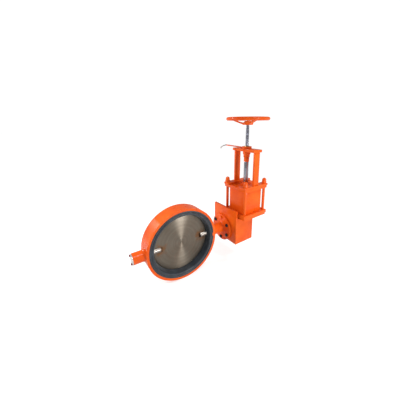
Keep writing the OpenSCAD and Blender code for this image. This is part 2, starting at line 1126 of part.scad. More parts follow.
valve_body();
seat_liner();
stub_bush();
drive_bush();
shaft_packing();
end_cover();
end_cover_screws();
flange_bolts();
mounting_plate();
housing_shell();
housing_cover();
housing_cover_screws();
end_bearing();
end_bearing_screws();
end_bearing_bush();
top_flange();
lower_cover();
lower_cover_screws();
lower_rod_bush();
rod_seals();
barrel();
barrel_seals();
upper_cover();
upper_rod_bush();
gland_plate();
gland_screws();
tie_rods();
tie_rod_nuts();
side_bars();
pillars();
yoke_plate();
nut_housing();
stem_nut();
disc();
stub_shaft();
drive_shaft();
crank();
crank_key();
crank_pin();
shaft_circlip();
position_pointer();
pointer_screw();
piston_rod();
piston();
piston_seals();
wear_ring();
piston_nut();
crosshead();
crosshead_lock_nut();
stem_coupling();
thrust_washers();
stem();
stem_collar();
handwheel();
wheel_washer();
wheel_nut();
lock_nut();
lock_lever();
lever_tip();
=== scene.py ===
"""Looks of a wafer butterfly valve with an air cylinder and a handwheel override.

The pieces follow the valve as it is put together: casting, liner, disc and shafts,
crank box, cylinder, yoke, stem and handwheel, and at the end the studio.
"""

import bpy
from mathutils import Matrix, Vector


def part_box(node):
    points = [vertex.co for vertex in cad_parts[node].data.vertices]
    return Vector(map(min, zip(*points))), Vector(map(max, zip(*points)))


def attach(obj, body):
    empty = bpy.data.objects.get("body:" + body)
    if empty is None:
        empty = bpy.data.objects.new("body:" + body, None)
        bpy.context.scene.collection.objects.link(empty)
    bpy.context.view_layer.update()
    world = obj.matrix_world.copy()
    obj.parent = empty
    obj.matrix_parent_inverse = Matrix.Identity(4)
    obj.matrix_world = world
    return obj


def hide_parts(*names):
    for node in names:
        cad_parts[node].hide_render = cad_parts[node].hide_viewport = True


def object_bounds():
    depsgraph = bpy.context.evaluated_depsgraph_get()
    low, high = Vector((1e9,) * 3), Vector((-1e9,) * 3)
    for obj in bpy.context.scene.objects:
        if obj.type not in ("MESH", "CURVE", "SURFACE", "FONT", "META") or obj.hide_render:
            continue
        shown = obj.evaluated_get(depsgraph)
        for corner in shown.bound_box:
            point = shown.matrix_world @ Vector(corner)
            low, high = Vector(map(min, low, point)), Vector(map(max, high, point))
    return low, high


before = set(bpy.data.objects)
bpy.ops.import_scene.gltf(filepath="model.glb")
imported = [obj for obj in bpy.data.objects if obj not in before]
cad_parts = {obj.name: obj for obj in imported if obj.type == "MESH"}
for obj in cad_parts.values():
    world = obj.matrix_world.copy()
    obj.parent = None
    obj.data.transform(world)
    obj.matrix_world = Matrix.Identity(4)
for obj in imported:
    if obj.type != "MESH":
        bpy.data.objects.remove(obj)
cad_box = [list(corner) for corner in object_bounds()]

import math

import bpy
from mathutils import Matrix, Vector

# ---------------------------------------------------------------------------
# Valve body: one iron casting with the ring, the blind shaft boss, the neck and
# its round flange, machined on its faces and bores, and sprayed with orange enamel.

body_low, body_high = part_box("valve_body")
RING_RADIUS = body_high.z
RING_HALF_WIDTH = 0.039
BODY_BORE = 0.160
LIP_RADIUS = 0.177
LIP_DEPTH = 0.005
BOSS_RADIUS = 0.027
BOSS_END = body_low.x
NECK_RADIUS = 0.029
FLANGE_BACK = body_high.x
FLANGE_THICK = 0.013
FLANGE_FRONT = FLANGE_BACK - FLANGE_THICK
FLANGE_RADIUS = body_high.y
CAST_FILLET = 0.012
COLLAR_FILLET = 0.009
SHAFT_BORE = 0.018
BOLT_CIRCLE = 0.060
BOLT_HOLE = 0.0065
COVER_SCREW_CIRCLE = 0.0188
COVER_SCREW_ANGLE = math.radians(58)
CAST_ROOT_AT = 0.1868   # where the boss and the neck leave the ring, from the pipe's centre
IN_RING_WALL = 0.17     # a start for both, hidden inside the ring's wall
BEHIND_BOLT_HOLES = 0.22   # where the drill for the flange starts
LONG = 0.4              # longer than anything it cuts
SEAT_GAP = 0.0001       # between seated pieces


def only(piece):
    """Deselects everything, then selects this piece and makes it active."""
    bpy.ops.object.select_all(action="DESELECT")
    piece.select_set(True)
    bpy.context.view_layer.objects.active = piece


def named(name):
    """Names the primitive that was just added."""
    piece = bpy.context.active_object
    piece.name = name
    piece.data.name = name
    only(piece)
    return piece


def placed(piece, axis, place):
    """Turns a piece made along Z so that it runs along the axis, and moves it to its place."""
    turns = {"X": (0, math.radians(90), 0), "Y": (math.radians(-90), 0, 0), "Z": (0, 0, 0)}
    only(piece)
    piece.rotation_euler = turns[axis]
    piece.location = place
    bpy.ops.object.transform_apply(location=True, rotation=True, scale=True)
    return piece


def modified(piece, kind, **settings):
    """Adds one modifier with these settings and applies it."""
    only(piece)
    bpy.ops.object.modifier_add(type=kind)
    modifier = piece.modifiers[-1]
    for key, value in settings.items():
        setattr(modifier, key, value)
    bpy.ops.object.modifier_apply(modifier=modifier.name)
    return piece


def lathed(name, outline, axis="Z", place=(0, 0, 0), sides=96):
    """Turns an outline of (radius, height) points into a solid: a circle extruded from point to point.
    An outline that comes back to its first point makes a ring."""
    radius, height = outline[0]
    bpy.ops.mesh.primitive_circle_add(vertices=sides, radius=radius, location=(0, 0, height))
    piece = named(name)
    bpy.ops.object.transform_apply(location=True, rotation=False, scale=False)
    bpy.ops.object.mode_set(mode="EDIT")
    bpy.ops.mesh.select_all(action="SELECT")
    for (r0, h0), (r1, h1) in zip(outline, outline[1:]):
        bpy.ops.mesh.extrude_region_move(TRANSFORM_OT_translate={"value": (0, 0, h1 - h0)})
        bpy.ops.transform.resize(value=(r1 / r0, r1 / r0, 1), center_override=(0, 0, 0))
    bpy.ops.mesh.select_all(action="SELECT")
    bpy.ops.mesh.remove_doubles(threshold=1e-6)
    bpy.ops.mesh.fill_holes(sides=0)
    bpy.ops.mesh.select_all(action="SELECT")
    bpy.ops.mesh.normals_make_consistent(inside=False)
    bpy.ops.object.mode_set(mode="OBJECT")
    return placed(piece, axis, place)


def arc(radius, r_centre, h_centre, start, stop, steps=6):
    """(radius, height) points along an arc, with its angles in degrees from the outward direction."""
    angles = [math.radians(start + (stop - start) * i / steps) for i in range(steps + 1)]
    return [(r_centre + radius * math.cos(a), h_centre + radius * math.sin(a)) for a in angles]


def rod(name, radius, length, axis="Z", place=(0, 0, 0), sides=32):
    """A plain cylinder that starts at its place and runs along the axis: stock, or a drill."""
    bpy.ops.mesh.primitive_cylinder_add(vertices=sides, radius=radius, depth=length,
                                        location=(0, 0, length / 2))
    piece = named(name)
    bpy.ops.object.transform_apply(location=True, rotation=False, scale=False)
    return placed(piece, axis, place)


def combined(piece, tool, operation="DIFFERENCE"):
    """Cuts the tool out of the piece, or joins the two into one solid, and throws the tool away."""
    modified(piece, "BOOLEAN", object=tool, operation=operation, solver="EXACT")
    bpy.data.objects.remove(tool)
    only(piece)
    return piece


def eased(piece, width, segments=2, angle=32):
    """Breaks the sharp edges with a small bevel and shades the faces smooth."""
    modified(piece, "BEVEL", width=width, segments=segments, limit_method="ANGLE",
             angle_limit=math.radians(angle), use_clamp_overlap=True)
    bpy.ops.object.shade_smooth_by_angle(angle=math.radians(35))
    return piece


def round_x(radius, angle, x=0.0):
    """A place on a circle round the valve shaft, its angle counted from the pipe's direction."""
    return (x, radius * math.cos(angle), radius * math.sin(angle))


def fitted(piece, body, slot, material, *nodes):
    """Gives a finished piece its material, its body and the nodes it stands for. The slot is not used."""
    piece.data.materials.clear()
    piece.data.materials.append(material)
    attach(piece, body)
    if nodes:
        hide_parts(*nodes)
    return piece


class Finish:
    """A material's node tree, with one short call for each kind of node that the finishes use."""

    def __init__(self, name, color, roughness, metallic=0.0, **sockets):
        self.material = bpy.data.materials.new(name)
        self.material.use_nodes = True
        self.tree = self.material.node_tree
        self.shader = self.tree.nodes["Principled BSDF"]
        self.shader.inputs["Base Color"].default_value = (*color, 1)
        self.shader.inputs["Roughness"].default_value = roughness
        self.shader.inputs["Metallic"].default_value = metallic
        for socket, value in sockets.items():
            self.shader.inputs[socket.replace("_", " ")].default_value = value
        self.place = self.tree.nodes.new("ShaderNodeTexCoord").outputs["Object"]

    def node(self, kind, inputs=(), **settings):
        made = self.tree.nodes.new(kind)
        for key, value in settings.items():
            setattr(made, key, value)
        for key, value in dict(inputs).items():
            if isinstance(value, bpy.types.NodeSocket):
                self.tree.links.new(value, made.inputs[key])
            else:
                made.inputs[key].default_value = value
        return made

    def noise(self, scale, detail=4.0, roughness=0.55, at=None, stretch=None):
        spot = at or self.place
        if stretch:
            spot = self.node("ShaderNodeMapping", {"Vector": spot, "Scale": stretch}).outputs[0]
        return self.node("ShaderNodeTexNoise", {"Vector": spot, "Scale": scale, "Detail": detail,
                                                "Roughness": roughness}).outputs["Fac"]

    def math(self, operation, a, b=0.0, clamp=False):
        made = self.node("ShaderNodeMath", {0: a, 1: b}, operation=operation)
        made.use_clamp = clamp
        return made.outputs[0]

    def ramp(self, value, low, high, out_low=0.0, out_high=1.0):
        return self.node("ShaderNodeMapRange", {0: value, 1: low, 2: high, 3: out_low, 4: out_high},
                         clamp=True).outputs[0]

    def mix(self, share, a, b):
        made = self.node("ShaderNodeMix", data_type="RGBA")
        for socket, value in ((made.inputs[0], share), (made.inputs[6], a), (made.inputs[7], b)):
            if isinstance(value, bpy.types.NodeSocket):
                self.tree.links.new(value, socket)
            else:
                socket.default_value = value if isinstance(value, float) else (*value, 1)
        return made.outputs[2]

    def edges(self, width, low=0.02, high=0.25):
        """How sharp the surface is at a point, from 0 on a flat face to 1 on an edge."""
        rounded = self.node("ShaderNodeBevel", {"Radius": width}, samples=4).outputs[0]
        true = self.node("ShaderNodeNewGeometry").outputs["Normal"]
        agreement = self.node("ShaderNodeVectorMath", {0: rounded, 1: true}, operation="DOT_PRODUCT")
        return self.ramp(self.math("SUBTRACT", 1.0, agreement.outputs["Value"]), low, high)

    def bumps(self, *layers):
        """Stacks bump layers of (height, strength, distance)."""
        normal = None
        for height, strength, distance in layers:
            inputs = {"Height": height, "Strength": strength, "Distance": distance}
            if normal:
                inputs["Normal"] = normal
            normal = self.node("ShaderNodeBump", inputs).outputs[0]
        self.tree.links.new(normal, self.shader.inputs["Normal"])

    def drive(self, socket, value):
        self.tree.links.new(value, self.shader.inputs[socket])


def enamel(name, skin_scale, skin_height, runs=0.25):
    """Orange enamel: slight orange peel, a painted highlight that lightens the edges, dust in broad patches.
    """
    paint = Finish(name, (0.76, 0.092, 0.006), 0.34, Coat_Weight=0.12, Coat_Roughness=0.10,
                   Specular_IOR_Level=0.14)
    broad = paint.noise(9.0, 3.0)
    patches = paint.mix(paint.ramp(broad, 0.35, 0.68), (0.70, 0.076, 0.004), (0.84, 0.130, 0.009))
    # Edges and corners turn a paler orange in noisy patches: a painted highlight.
    painted_edge_highlight = paint.math("MULTIPLY", paint.edges(0.0016), paint.ramp(paint.noise(60.0, 6.0), 0.42, 0.62))
    highlit_edge_paint = paint.mix(paint.math("MULTIPLY", painted_edge_highlight, 0.55), patches, (0.93, 0.20, 0.05))
    grime = paint.ramp(paint.noise(38.0, 8.0, 0.7), 0.60, 0.80, 0.0, runs)
    paint.drive("Base Color", paint.mix(grime, highlit_edge_paint, (0.38, 0.036, 0.007)))
    paint.drive("Roughness", paint.ramp(paint.noise(22.0, 5.0), 0.3, 0.7, 0.24, 0.42))
    paint.bumps((paint.noise(skin_scale, 2.0), 0.35, skin_height), (paint.noise(420.0, 2.0), 0.25, 0.00012))
    return paint.material


cast_enamel = enamel("cast_enamel", 130.0, 0.0006, 0.35)

casting = lathed("body_casting", [
    (BODY_BORE, LIP_DEPTH - RING_HALF_WIDTH), (LIP_RADIUS, LIP_DEPTH - RING_HALF_WIDTH),
    (LIP_RADIUS, -RING_HALF_WIDTH), (RING_RADIUS, -RING_HALF_WIDTH), (RING_RADIUS, RING_HALF_WIDTH),
    (LIP_RADIUS, RING_HALF_WIDTH), (LIP_RADIUS, RING_HALF_WIDTH - LIP_DEPTH),
    (BODY_BORE, RING_HALF_WIDTH - LIP_DEPTH), (BODY_BORE, LIP_DEPTH - RING_HALF_WIDTH),
], "Y", sides=160)

boss_root = arc(CAST_FILLET, BOSS_RADIUS + CAST_FILLET, CAST_ROOT_AT + CAST_FILLET, 180, 270)
boss = lathed("boss", [(BOSS_RADIUS, -BOSS_END)] + boss_root + [(BOSS_RADIUS + CAST_FILLET, IN_RING_WALL)],
              "X", sides=64)
only(boss)
bpy.ops.transform.mirror(constraint_axis=(True, False, False), center_override=(0, 0, 0))
bpy.ops.object.transform_apply(location=True, rotation=True, scale=True)
bpy.ops.object.mode_set(mode="EDIT")
bpy.ops.mesh.select_all(action="SELECT")
bpy.ops.mesh.normals_make_consistent(inside=False)
bpy.ops.object.mode_set(mode="OBJECT")

neck_root = arc(CAST_FILLET, NECK_RADIUS + CAST_FILLET, CAST_ROOT_AT + CAST_FILLET, 270, 180)
collar_fillet = arc(COLLAR_FILLET, NECK_RADIUS + COLLAR_FILLET, FLANGE_FRONT - COLLAR_FILLET, 180, 90)
neck = lathed("neck", [(NECK_RADIUS + CAST_FILLET, IN_RING_WALL)] + neck_root + collar_fillet
              + [(FLANGE_RADIUS, FLANGE_FRONT), (FLANGE_RADIUS, FLANGE_BACK)], "X", sides=96)
combined(casting, boss, "UNION")
combined(casting, neck, "UNION")
combined(casting, rod("bore_tool", SHAFT_BORE, 2 * LONG, "X", (-LONG, 0, 0), 48))
bolt_angles = [math.radians(30 + 60 * i) for i in range(6)]
for angle in bolt_angles:
    combined(casting, rod("bolt_tool", BOLT_HOLE, 0.1, "X", round_x(BOLT_CIRCLE, angle, BEHIND_BOLT_HOLES)))
eased(casting, 0.0018, 3)
fitted(casting, "valve", "orange_paint", cast_enamel, "valve_body")

# ---------------------------------------------------------------------------
# Seat liner: one rubber moulding that covers the bore and folds over both ring
# faces as sealing lips, with a relief groove in each lip. It snaps into the casting.

LIP_FACE = 0.040
SEAT_RADIUS = 0.1493
SHAFT_RUN = 0.01505

rubber = Finish("slate_rubber", (0.040, 0.058, 0.082), 0.5, Sheen_Weight=0.25, Sheen_Roughness=0.4)
bloom = rubber.ramp(rubber.noise(26.0, 6.0, 0.6), 0.42, 0.7)
dusted = rubber.mix(bloom, (0.011, 0.017, 0.025), (0.030, 0.040, 0.052))
# Edges and groove corners turn pale: a painted highlight along the lip edges, and dust in the grooves.
rubber.drive("Base Color", rubber.mix(rubber.edges(0.0012), dusted, (0.10, 0.118, 0.138)))
rubber.drive("Roughness", rubber.ramp(rubber.noise(70.0, 4.0), 0.3, 0.7, 0.36, 0.58))
rubber.bumps((rubber.noise(300.0, 3.0), 0.25, 0.0002), (rubber.noise(14.0, 2.0), 0.3, 0.0012))

lip_outline = [
    (SEAT_RADIUS, -0.012), (0.1500, -0.019), (0.1518, -0.027), (0.1530, -0.033), (0.1542, -0.0370),
    (0.1560, -0.0393), (0.1580, -LIP_FACE), (0.1622, -LIP_FACE), (0.1636, -0.0395), (0.1644, -0.0382),
    (0.1655, -0.0376), (0.1678, -0.0376), (0.1688, -0.0382), (0.1696, -0.0395), (0.1708, -LIP_FACE),
    (0.1755, -LIP_FACE), (0.1765, -0.0391), (0.1767, -0.0342), (0.1599, -0.0342),
]
liner_outline = lip_outline + [(r, -h) for r, h in reversed(lip_outline)] + [lip_outline[0]]
liner = lathed("liner_moulding", liner_outline, "Y", sides=160)
combined(liner, rod("shaft_tool", SHAFT_RUN, 2 * LONG, "X", (-LONG, 0, 0), 48))
only(liner)
bpy.ops.object.shade_smooth_by_angle(angle=math.radians(50))
fitted(liner, "valve", "liner_rubber", rubber.material, "seat_liner")

# ---------------------------------------------------------------------------
# Disc: a stainless plate, faced on the lathe on both sides and turned to a round
# sealing edge, with a centre mark and a milled seat for each shaft end.

DISC_RADIUS = 0.149
DISC_FACE = 0.006
DISC_EDGE_FACE = 0.1400
POCKET_START = 0.102
SHAFT_END = 0.110
SEAT_HALF = 0.011
POCKET_HALF = 0.013
POCKET_DEPTH = 0.0035
STAIN_AT = 0.112   # rust spreads over the disc from the shaft seats

turned_steel = Finish("turned_stainless", (0.20, 0.17, 0.14), 0.36, 0.95, Anisotropic=0.90,
                      Anisotropic_Rotation=0.25)
radial = turned_steel.node("ShaderNodeVectorMath", {0: turned_steel.place, 1: (1, 0, 1)},
                           operation="MULTIPLY").outputs[0]
radius_out = turned_steel.node("ShaderNodeVectorMath", {0: radial}, operation="LENGTH").outputs["Value"]
ring_spot = turned_steel.node("ShaderNodeCombineXYZ", {"X": radius_out}).outputs[0]
grooves = turned_steel.noise(900.0, 2.0, at=ring_spot)
passes = turned_steel.noise(70.0, 4.0, at=ring_spot)
cloud = turned_steel.noise(13.0, 5.0)
steel_color = turned_steel.mix(turned_steel.ramp(passes, 0.35, 0.65),
                               (0.175, 0.148, 0.116), (0.225, 0.194, 0.155))
steel_color = turned_steel.mix(turned_steel.ramp(cloud, 0.45, 0.72, 0.0, 0.55),
                               steel_color, (0.175, 0.130, 0.090))
side = turned_steel.node("ShaderNodeSeparateXYZ", {0: turned_steel.place})
off_seat = turned_steel.math("SUBTRACT", turned_steel.math("ABSOLUTE", side.outputs[0]), STAIN_AT)
near_seat = turned_steel.math("SQRT", turned_steel.math(
    "ADD", turned_steel.math("POWER", off_seat, 2.0), turned_steel.math("POWER", side.outputs[2], 2.0)))
ragged_stain = turned_steel.ramp(turned_steel.noise(55.0, 6.0), 0.3, 0.7, -0.014, 0.014)
stain_edge = turned_steel.math("ADD", near_seat, ragged_stain)
stain = turned_steel.ramp(stain_edge, 0.016, 0.036, 0.75, 0.0)
turned_steel.drive("Base Color", turned_steel.mix(stain, steel_color, (0.23, 0.105, 0.040)))
turned_steel.drive("Roughness", turned_steel.ramp(passes, 0.3, 0.7, 0.34, 0.42))
lathe_direction = turned_steel.node("ShaderNodeTangent", direction_type="RADIAL", axis="Y").outputs[0]
turned_steel.drive("Tangent", lathe_direction)
turned_steel.bumps((grooves, 0.35, 0.00010), (passes, 0.10, 0.0001))


def box(name, low, high):
    """A block between two corners."""
    low, high = Vector(low), Vector(high)
    bpy.ops.mesh.primitive_cube_add(size=1, location=(low + high) / 2, scale=high - low)
    piece = named(name)
    bpy.ops.object.transform_apply(location=True, rotation=False, scale=True)
    return piece


half_disc = [(0.0012, -0.0046), (0.0030, -DISC_FACE), (0.035, -DISC_FACE), (0.09, -DISC_FACE),
             (DISC_EDGE_FACE, -DISC_FACE)]
edge_arc = [(DISC_RADIUS * math.cos(math.radians(a)), DISC_RADIUS * math.sin(math.radians(a)))
            for a in (-1.5, -0.9, -0.3, 0.3, 0.9, 1.5)]
plate = lathed("disc_plate", half_disc + edge_arc + [(r, -h) for r, h in reversed(half_disc)], "Y", sides=160)
for sign in (-1, 1):
    ends = sorted((sign * SHAFT_END, sign * LONG))
    combined(plate, box("seat_tool", (ends[0], -LONG, -SEAT_HALF), (ends[1], LONG, SEAT_HALF)))
    mouth = sorted((sign * POCKET_START, sign * (SHAFT_END + 0.004)))
    for low, high in ((-0.02, POCKET_DEPTH - DISC_FACE), (DISC_FACE - POCKET_DEPTH, 0.02)):
        combined(plate, box("pocket_tool", (mouth[0], low, -POCKET_HALF), (mouth[1], high, POCKET_HALF)))
eased(plate, 0.0004, 2)
fitted(plate, "disc_shaft", "disc_steel", turned_steel.material, "disc")

# ---------------------------------------------------------------------------
# Shafts, bushes and packing: two ground stainless shafts that end in the disc, the
# bronze bushes they run in, and rubber packing behind them. Turned from bar stock.


def dressed(node, body, slot, material, width=0.0012, segments=2):
    """A machined part with its edges dressed: a copy of the CAD part, its loose triangles merged
    into whole faces and its sharp edges bevelled."""
    piece = bpy.data.objects.new(f"{node}_dressed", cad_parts[node].data.copy())
    bpy.context.scene.collection.objects.link(piece)
    only(piece)
    bpy.ops.mesh.customdata_custom_splitnormals_clear()
    bpy.ops.object.mode_set(mode="EDIT")
    bpy.ops.mesh.select_all(action="SELECT")
    bpy.ops.mesh.remove_doubles(threshold=2e-6)
    bpy.ops.mesh.dissolve_limited(angle_limit=math.radians(0.5))
    bpy.ops.object.mode_set(mode="OBJECT")
    eased(piece, width, segments)
    return fitted(piece, body, slot, material, node)


def as_drawn(material, *nodes):
    """Gives parts that keep their drawn shape a better finish."""
    for node in nodes:
        for material_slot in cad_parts[node].material_slots:
            material_slot.material = material


ground_steel = Finish("ground_shaft_steel", (0.34, 0.31, 0.28), 0.30, 1.0)
along = ground_steel.node("ShaderNodeSeparateXYZ", {0: ground_steel.place})
lathe_marks = ground_steel.noise(700.0, 2.0, stretch=(1.0, 0.02, 0.02))
from_end = ground_steel.math("SUBTRACT", ground_steel.math("ABSOLUTE", along.outputs[0]), SHAFT_END)
# The shafts darken to brown towards their inner ends: painted shade on the end faces.
painted_end_shade = ground_steel.ramp(from_end, 0.0004, 0.0030, 0.95, 0.0)
tarnish = ground_steel.ramp(ground_steel.noise(60.0, 6.0), 0.50, 0.75, 0.0, 0.5)
clean = ground_steel.mix(tarnish, (0.34, 0.31, 0.28), (0.17, 0.11, 0.07))
ground_steel.drive("Base Color", ground_steel.mix(painted_end_shade, clean, (0.075, 0.042, 0.026)))
ground_steel.drive("Roughness", ground_steel.ramp(ground_steel.noise(90.0, 4.0), 0.3, 0.7, 0.26, 0.44))
ground_steel.bumps((lathe_marks, 0.3, 0.0001), (ground_steel.noise(160.0, 4.0), 0.15, 0.0002))

dressed("stub_shaft", "disc_shaft", "shaft_steel", ground_steel.material, 0.0010)
dressed("drive_shaft", "disc_shaft", "shaft_steel", ground_steel.material, 0.0008)

bronze = Finish("bush_bronze", (0.52, 0.32, 0.11), 0.32, 1.0)
bronze_age = bronze.ramp(bronze.noise(80.0, 5.0), 0.4, 0.7)
bronze.drive("Base Color", bronze.mix(bronze_age, (0.58, 0.36, 0.13), (0.30, 0.17, 0.07)))
bronze.drive("Roughness", bronze.ramp(bronze.noise(150.0, 3.0), 0.3, 0.7, 0.24, 0.42))
bronze.bumps((bronze.noise(500.0, 2.0), 0.2, 0.0001),)

seal_rubber = Finish("seal_rubber", (0.018, 0.018, 0.020), 0.55, Sheen_Weight=0.2)
seal_rubber.drive("Base Color", seal_rubber.mix(
    seal_rubber.ramp(seal_rubber.noise(90.0, 5.0), 0.4, 0.7), (0.015, 0.015, 0.017), (0.045, 0.045, 0.048)))
seal_rubber.bumps((seal_rubber.noise(600.0, 3.0), 0.2, 0.0001),)

as_drawn(bronze.material, "stub_bush", "drive_bush")
as_drawn(seal_rubber.material, "shaft_packing")

# ---------------------------------------------------------------------------
# End cover: a zinc-plated disc over the blind boss, held by two hex-head screws
# whose heads were painted a dull red.

zinc = Finish("zinc_plate", (0.62, 0.61, 0.59), 0.36, 0.9)
spangle = zinc.ramp(zinc.noise(120.0, 5.0), 0.35, 0.65)
zinc.drive("Base Color", zinc.mix(spangle, (0.52, 0.51, 0.49), (0.70, 0.69, 0.66)))
zinc.drive("Roughness", zinc.ramp(zinc.noise(45.0, 5.0), 0.3, 0.7, 0.28, 0.48))
zinc.bumps((zinc.noise(380.0, 3.0), 0.2, 0.00012),)

dressed("end_cover", "valve", "zinc_steel", zinc.material, 0.0008)


def black_oxide(name, tint):
    """Oiled black steel, rubbed bright on its corners."""
    steel = Finish(name, tint, 0.42, 0.7)
    rubbed = steel.math("MULTIPLY", steel.edges(0.0007), steel.ramp(steel.noise(160.0, 5.0), 0.35, 0.6))
    faded = tuple(c * 1.9 + 0.006 for c in tint)
    oxide = steel.mix(steel.ramp(steel.noise(75.0, 5.0), 0.4, 0.7), tint, faded)
    steel.drive("Base Color", steel.mix(steel.math("MULTIPLY", rubbed, 0.6), oxide, (0.20, 0.18, 0.16)))
    steel.drive("Roughness", steel.ramp(steel.noise(120.0, 4.0), 0.3, 0.7, 0.34, 0.55))
    steel.bumps((steel.noise(450.0, 3.0), 0.25, 0.00015),)
    return steel.material


def hex_head(name, flats, height):
    """A hexagon with its top corners chamfered, standing on Z = 0."""
    bpy.ops.mesh.primitive_cylinder_add(vertices=6, radius=flats / math.sqrt(3), depth=height,
                                        location=(0, 0, height / 2))
    head = named(name)
    bpy.ops.object.transform_apply(location=True, rotation=False, scale=False)
    chamfer = lathed("chamfer_tool", [(0.7 * flats, -0.01), (0.7 * flats, height - 0.13 * flats),
                                      (0.475 * flats, height)], sides=48)
    return combined(head, chamfer, "INTERSECT")


def hex_screw(name, flats, height, shank, length):
    """A hex-head screw: its head stands on Z = 0 and its shank goes down."""
    screw = hex_head(name, flats, height)
    threads = round(length / (0.3 * shank))
    ridges = [(shank * (1.0 if i % 2 else 0.9), -length + length * i / (2 * threads))
              for i in range(2 * threads)]
    combined(screw, lathed("shank", ridges + [(shank, 0.001)], sides=24), "UNION")
    return eased(screw, flats * 0.012, 2)


def joined(name, *pieces):
    """Joins finished shapes into one piece."""
    bpy.ops.object.select_all(action="DESELECT")
    for piece in pieces:
        piece.select_set(True)
    bpy.context.view_layer.objects.active = pieces[0]
    if len(pieces) > 1:
        bpy.ops.object.join()
    pieces[0].name = name
    return pieces[0]


def set_of(name, one, turns, keep=False):
    """Copies one fastener to each place, as matrices, and joins the copies into one piece.
    The first one is thrown away, unless another set still needs it."""
    copies = []
    for turn in turns:
        copy = bpy.data.objects.new(name, one.data.copy())
        bpy.context.scene.collection.objects.link(copy)
        copy.data.transform(turn)
        copies.append(copy)
    if not keep:
        bpy.data.objects.remove(one)
    return joined(name, *copies)


def head_towards(direction, place, twist=0.0):
    """The matrix that turns a screw made along Z so that its head points in a direction, at a place."""
    turn = Vector(direction).to_track_quat("Z", "Y").to_matrix().to_4x4()
    return Matrix.Translation(place) @ turn @ Matrix.Rotation(twist, 4, "Z")


red_oxide = black_oxide("painted_red_steel", (0.16, 0.012, 0.010))
dark_oxide = black_oxide("black_oxide", (0.022, 0.021, 0.024))
cover_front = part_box("end_cover")[0].x - SEAT_GAP
cover_screw = hex_screw("one", flats=0.009, height=0.0045, shank=0.003, length=0.014)
cover_screws = set_of("end_cover_screw_pair", cover_screw, [
    head_towards((-1, 0, 0), round_x(COVER_SCREW_CIRCLE, COVER_SCREW_ANGLE + turn, cover_front), turn)
    for turn in (0.0, math.pi)])
fitted(cover_screws, "valve", "dark_bolt_steel", red_oxide, "end_cover_screws")

# ---------------------------------------------------------------------------
# Flange bolts: six M12 hex bolts through the neck's flange into the plate. They were
# left black when the valve was sprayed, all but the top one, which caught the paint.

plate_enamel = enamel("plate_enamel", 45.0, 0.0003, 0.22)
bolt = hex_screw("one", flats=0.017, height=0.007, shank=0.006, length=0.023)
under_head = FLANGE_FRONT - SEAT_GAP


def bolt_at(angle):
    return head_towards((-1, 0, 0), round_x(BOLT_CIRCLE, angle, under_head), angle * 1.7)


painted_bolt = set_of("painted_flange_bolt", bolt, [bolt_at(bolt_angles[1])], keep=True)
black_bolts = set_of("black_flange_bolts", bolt, [bolt_at(a) for a in bolt_angles[:1] + bolt_angles[2:]])
fitted(black_bolts, "valve", "dark_bolt_steel", dark_oxide, "flange_bolts")
fitted(painted_bolt, "valve", "orange_paint", plate_enamel)

# ---------------------------------------------------------------------------
# Crank box: a plate that the neck bolts to, a welded box with posts for its cover
# screws, a cover and an end bearing. Cut from plate, machined, and sprayed orange.

for node, width in (("mounting_plate", 0.0014), ("housing_shell", 0.0016), ("housing_cover", 0.0014),
                    ("end_bearing", 0.0014), ("top_flange", 0.0014)):
    dressed(node, "valve", "orange_paint", plate_enamel, width, 3)

POST_INSET = 0.015
BEARING_CIRCLE = 0.0305
BEARING_FLANGE = 0.008
shell_low, shell_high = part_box("housing_shell")
cover_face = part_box("housing_cover")[1].x + SEAT_GAP
bearing_face = cover_face + BEARING_FLANGE
post_places = [(cover_face, y, z) for y in (shell_low.y + POST_INSET, shell_high.y - POST_INSET)
               for z in (shell_low.z + POST_INSET, shell_high.z - POST_INSET)]
small_screw = hex_screw("one", flats=0.010, height=0.004, shank=0.003, length=0.012)
cover_set = set_of("housing_cover_screw_set", small_screw,
                   [head_towards((1, 0, 0), place, 0.4 * i) for i, place in enumerate(post_places)],
                   keep=True)
bearing_set = set_of("end_bearing_screw_set", small_screw, [
    head_towards((1, 0, 0), round_x(BEARING_CIRCLE, math.radians(45 + 90 * i), bearing_face), 0.7 * i)
    for i in range(4)])
fitted(cover_set, "valve", "zinc_steel", zinc.material, "housing_cover_screws")
fitted(bearing_set, "valve", "zinc_steel", zinc.material, "end_bearing_screws")
as_drawn(bronze.material, "end_bearing_bush")

# ---------------------------------------------------------------------------
# Crank and crosshead: an iron crank keyed to the drive shaft, and a slotted block on
# the piston rod that pushes its pin. Machined from iron and steel, and greased.

iron = Finish("machined_iron", (0.17, 0.165, 0.16), 0.45, 0.9)
greasy = iron.ramp(iron.noise(35.0, 5.0), 0.42, 0.66)
iron.drive("Base Color", iron.mix(greasy, (0.22, 0.21, 0.20), (0.085, 0.075, 0.060)))
iron.drive("Roughness", iron.ramp(greasy, 0.0, 1.0, 0.50, 0.22))
iron.bumps((iron.noise(320.0, 4.0), 0.3, 0.0002),)

dressed("crank", "disc_shaft", "crank_iron", iron.material, 0.0010)
dressed("crosshead", "piston_rod", "crank_iron", iron.material, 0.0010)
dressed("crank_pin", "disc_shaft", "shaft_steel", ground_steel.material, 0.0006)
dressed("crosshead_lock_nut", "piston_rod", "zinc_steel", zinc.material, 0.0006)
as_drawn(zinc.material, "crank_key", "shaft_circlip")

# ---------------------------------------------------------------------------
# Position pointer: a bent zinc plate on the end of the drive shaft, held by one screw,
# which shows from the back how far the disc has turned.

dressed("position_pointer", "disc_shaft", "zinc_steel", zinc.material, 0.0005)
pointer_low, pointer_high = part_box("pointer_screw")
pointer_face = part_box("position_pointer")[1].x + SEAT_GAP
screw = hex_screw("one", flats=0.010, height=pointer_high.x - pointer_face, shank=0.003,
                  length=pointer_face - pointer_low.x)
pointer_screw = set_of("pointer_hex_screw", screw, [head_towards((1, 0, 0), (pointer_face, 0, 0))])
fitted(pointer_screw, "disc_shaft", "dark_bolt_steel", dark_oxide, "pointer_screw")

# ---------------------------------------------------------------------------
# Air cylinder: two plate covers, a square barrel with round corners between them, and
# four tie rods with domed nuts that pull the covers together. All sprayed orange.

